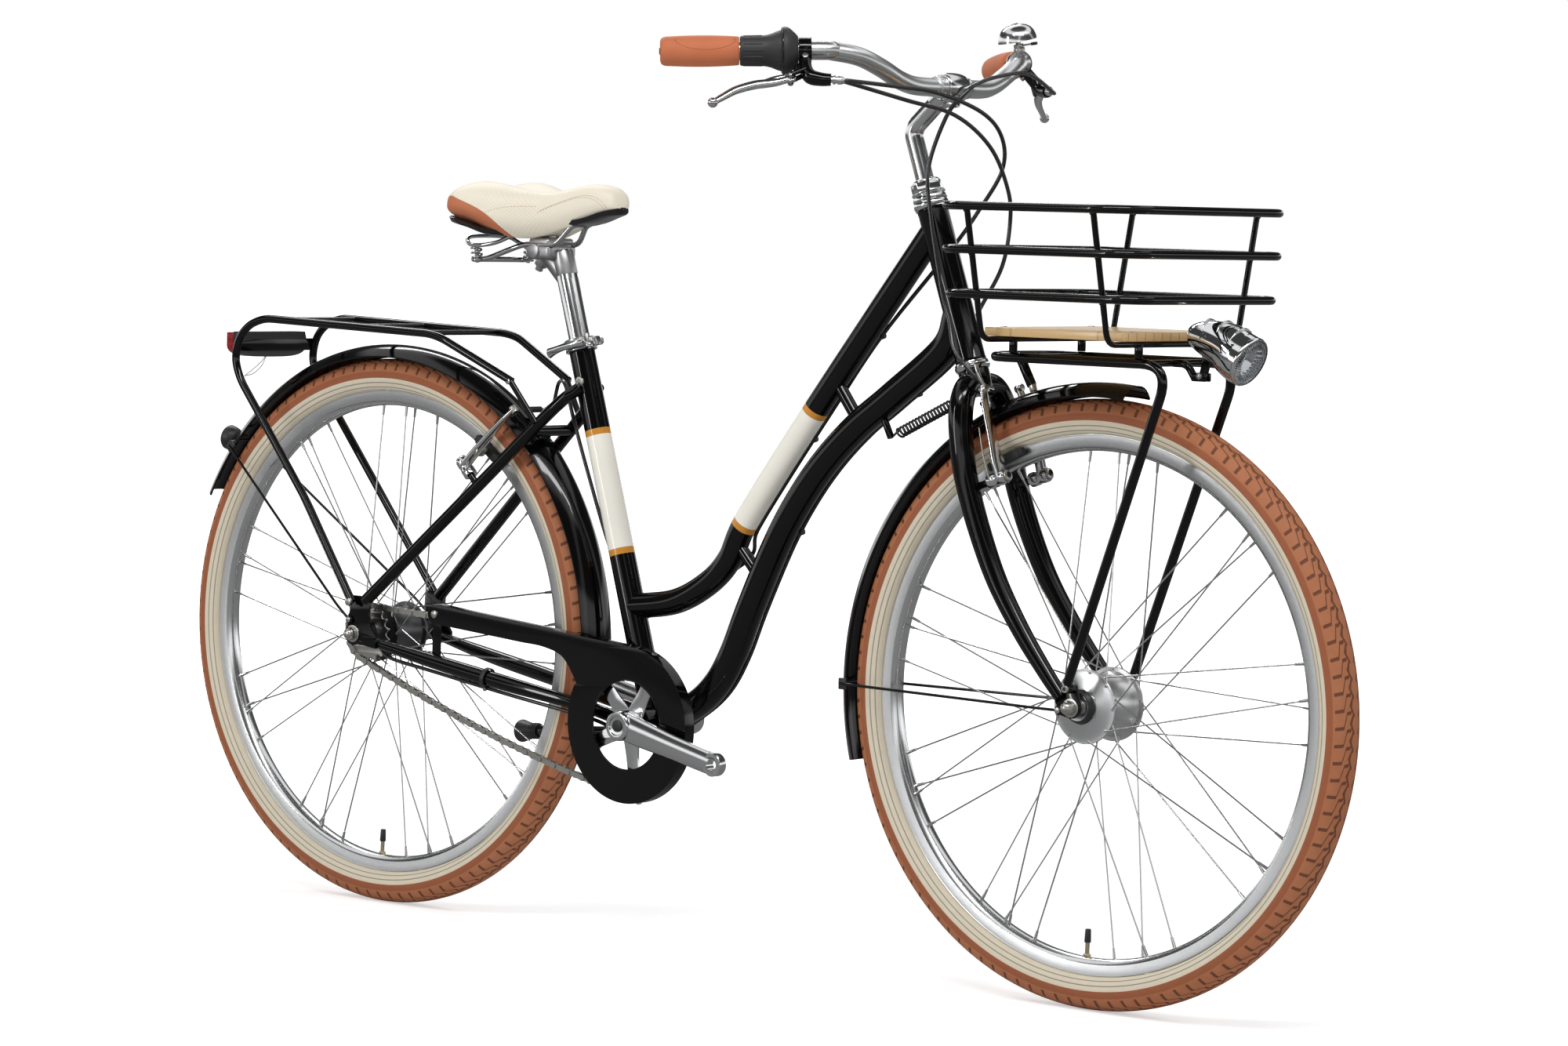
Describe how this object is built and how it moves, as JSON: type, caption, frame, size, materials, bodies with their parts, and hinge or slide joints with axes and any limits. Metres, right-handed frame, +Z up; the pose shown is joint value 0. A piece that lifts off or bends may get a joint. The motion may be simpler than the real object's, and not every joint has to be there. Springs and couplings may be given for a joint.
{
  "type": "city bike",
  "caption": "City bike with a curved low-step frame, front basket on a carrier, rear carrier, mudguards, chain guard, headlight and kickstand.",
  "frame": {"origin": "on the ground, midway between the two axles, in the bike's middle plane", "axes": "+X the way the bike rides, +Y to the rider's left, +Z up"},
  "size_m": [1.871, 0.6562, 1.1586],
  "materials": {
    "black_paint": "gloss",
    "black_plastic": "satin",
    "polished_aluminium": "polished",
    "satin_aluminium": "satin",
    "dark_hub_metal": "satin",
    "zinc_steel": "zinc plated",
    "chrome": "polished",
    "tyre_rubber": "matte",
    "brown_grip": "satin",
    "cream_cover": "satin",
    "bamboo": "satin",
    "clear_lens": "clear"
  },
  "bodies": {
    "frame": {"main_frame": "black_paint", "seat_tube": "black_paint", "chain_stays": "black_paint", "seat_stays": "black_paint", "seat_clamp": "polished_aluminium", "headset_cup_upper": "chrome", "headset_cup_lower": "chrome", "rear_axle": "zinc_steel", "chain_guard": "black_paint", "rear_carrier": "black_paint", "rear_light": "black_plastic", "rear_mudguard": "black_paint", "rear_brake_cable": "black_plastic", "shift_cable": "black_plastic", "steering_spring": "zinc_steel", "chain": "zinc_steel"},
    "steering": {"fork": "black_paint", "headset_lock_nut": "chrome", "stem": "polished_aluminium", "handlebar": "satin_aluminium", "grip_left": "brown_grip", "grip_right": "brown_grip", "lever_body_left": "black_paint", "lever_body_right": "black_paint", "bell": "chrome", "front_carrier": "black_paint", "basket": "black_paint", "basket_floor": "bamboo", "front_mudguard": "black_paint", "front_axle": "zinc_steel", "front_brake_cable": "black_plastic"},
    "lamp": {"headlight": "chrome", "headlight_lens": "clear_lens"},
    "front_wheel": {"front_tyre": "tyre_rubber", "front_rim": "polished_aluminium", "front_hub": "satin_aluminium", "front_spokes_left": "zinc_steel", "front_spokes_right": "zinc_steel"},
    "rear_wheel": {"rear_tyre": "tyre_rubber", "rear_rim": "polished_aluminium", "rear_hub": "dark_hub_metal", "rear_spokes_left": "zinc_steel", "rear_spokes_right": "zinc_steel"},
    "crankset": {"crank_right": "polished_aluminium", "crank_left": "polished_aluminium"},
    "sprocket": {"rear_sprocket": "zinc_steel"},
    "saddle": {"seat_post": "polished_aluminium", "saddle_rails": "chrome", "saddle_shell": "black_plastic", "saddle_cushion": "cream_cover"},
    "clamp_lever": {"seat_clamp_lever": "polished_aluminium"},
    "kickstand": {"kickstand_leg": "black_paint"},
    "lever_left": {"brake_lever_left": "polished_aluminium"},
    "lever_right": {"brake_lever_right": "polished_aluminium"},
    "shifter": {"twist_shifter": "black_plastic"},
    "striker": {"bell_striker": "zinc_steel"},
    "front_arm_left": {"front_brake_arm_left": "polished_aluminium"},
    "front_arm_right": {"front_brake_arm_right": "polished_aluminium"},
    "rear_arm_left": {"rear_brake_arm_left": "polished_aluminium"},
    "rear_arm_right": {"rear_brake_arm_right": "polished_aluminium"}
  },
  "joints": [
    {"name": "steering", "type": "hinge", "parent": "frame", "child": "steering", "pos_m": [0.3749, 0, 0.74952], "axis": [-0.3387, 0, 0.9409], "range_deg": [-50, 50], "stiffness_Nm_per_rad": 2, "deforming": ["rear_brake_cable", "shift_cable", "steering_spring"]},
    {"name": "front_wheel_spin", "type": "hinge", "parent": "steering", "child": "front_wheel", "pos_m": [0.5775, 0, 0.358], "axis": [0, 1, 0], "continuous": true},
    {"name": "rear_wheel_spin", "type": "hinge", "parent": "frame", "child": "rear_wheel", "pos_m": [-0.5775, 0, 0.358], "axis": [0, 1, 0], "continuous": true},
    {"name": "crank_spin", "type": "hinge", "parent": "frame", "child": "crankset", "pos_m": [-0.112, 0, 0.2775], "axis": [0, 1, 0], "continuous": true},
    {"name": "sprocket_spin", "type": "hinge", "parent": "frame", "child": "sprocket", "pos_m": [-0.5775, 0, 0.358], "axis": [0, 1, 0], "continuous": true},
    {"name": "kickstand_swing", "type": "hinge", "parent": "frame", "child": "kickstand", "pos_m": [-0.1575, 0.042, 0.257], "axis": [0, 0.9816, 0.1909], "range_deg": [-80, 0]},
    {"name": "brake_lever_left_pull", "type": "hinge", "parent": "steering", "child": "lever_left", "pos_m": [0.2832, 0.23805, 1.0779], "axis": [0.4807, 0.5669, 0.669], "range_deg": [0, 20], "stiffness_Nm_per_rad": 0.8, "springref_deg": -8.59},
    {"name": "brake_lever_right_pull", "type": "hinge", "parent": "steering", "child": "lever_right", "pos_m": [0.2832, -0.23805, 1.0779], "axis": [-0.4807, 0.5669, -0.669], "range_deg": [0, 20], "stiffness_Nm_per_rad": 0.8, "springref_deg": -8.59},
    {"name": "front_brake_left_swing", "type": "hinge", "parent": "steering", "child": "front_arm_left", "pos_m": [0.42605, 0.0405, 0.60745], "axis": [0.9409, 0, 0.3387], "range_deg": [0, 4]},
    {"name": "front_brake_right_swing", "type": "hinge", "parent": "steering", "child": "front_arm_right", "pos_m": [0.42605, -0.0405, 0.60745], "axis": [0.9409, 0, 0.3387], "range_deg": [-4, 0]},
    {"name": "rear_brake_left_swing", "type": "hinge", "parent": "frame", "child": "rear_arm_left", "pos_m": [-0.3925, 0.0405, 0.563], "axis": [-0.6712, 0, 0.7413], "range_deg": [-3.2, 0]},
    {"name": "rear_brake_right_swing", "type": "hinge", "parent": "frame", "child": "rear_arm_right", "pos_m": [-0.3925, -0.0405, 0.563], "axis": [-0.6712, 0, 0.7413], "range_deg": [0, 3.2]},
    {"name": "shifter_twist", "type": "hinge", "parent": "steering", "child": "shifter", "pos_m": [0.21965, -0.25555, 1.10872], "axis": [0.7435, 0.6679, 0.0318], "range_deg": [0, 120]},
    {"name": "striker_flick", "type": "hinge", "parent": "steering", "child": "striker", "pos_m": [0.2898, 0.18568, 1.13185], "axis": [-0.0972, -0.2138, 0.972], "range_deg": [0, 20], "stiffness_Nm_per_rad": 0.02, "springref_deg": -11.46},
    {"name": "lamp_tilt", "type": "hinge", "parent": "steering", "child": "lamp", "pos_m": [0.7115, 0, 0.748], "axis": [0, 1, 0], "range_deg": [-10, 10]},
    {"name": "clamp_lever_swing", "type": "hinge", "parent": "frame", "child": "clamp_lever", "pos_m": [-0.22988, -0.013, 0.75271], "axis": [-0.289, 0, 0.9573], "range_deg": [0, 110]},
    {"name": "seat_height", "type": "slide", "parent": "frame", "child": "saddle", "axis": [-0.289, 0, 0.9573], "range_m": [-0.05, 0.06]}
  ],
  "couplings": [
    {"joint": "sprocket_spin", "follows": "crank_spin", "ratio": 2.4444},
    {"joint": "front_brake_left_swing", "follows": "brake_lever_left_pull", "ratio": 0.2},
    {"joint": "front_brake_right_swing", "follows": "brake_lever_left_pull", "ratio": -0.2},
    {"joint": "rear_brake_left_swing", "follows": "brake_lever_right_pull", "ratio": -0.16},
    {"joint": "rear_brake_right_swing", "follows": "brake_lever_right_pull", "ratio": 0.16}
  ]
}
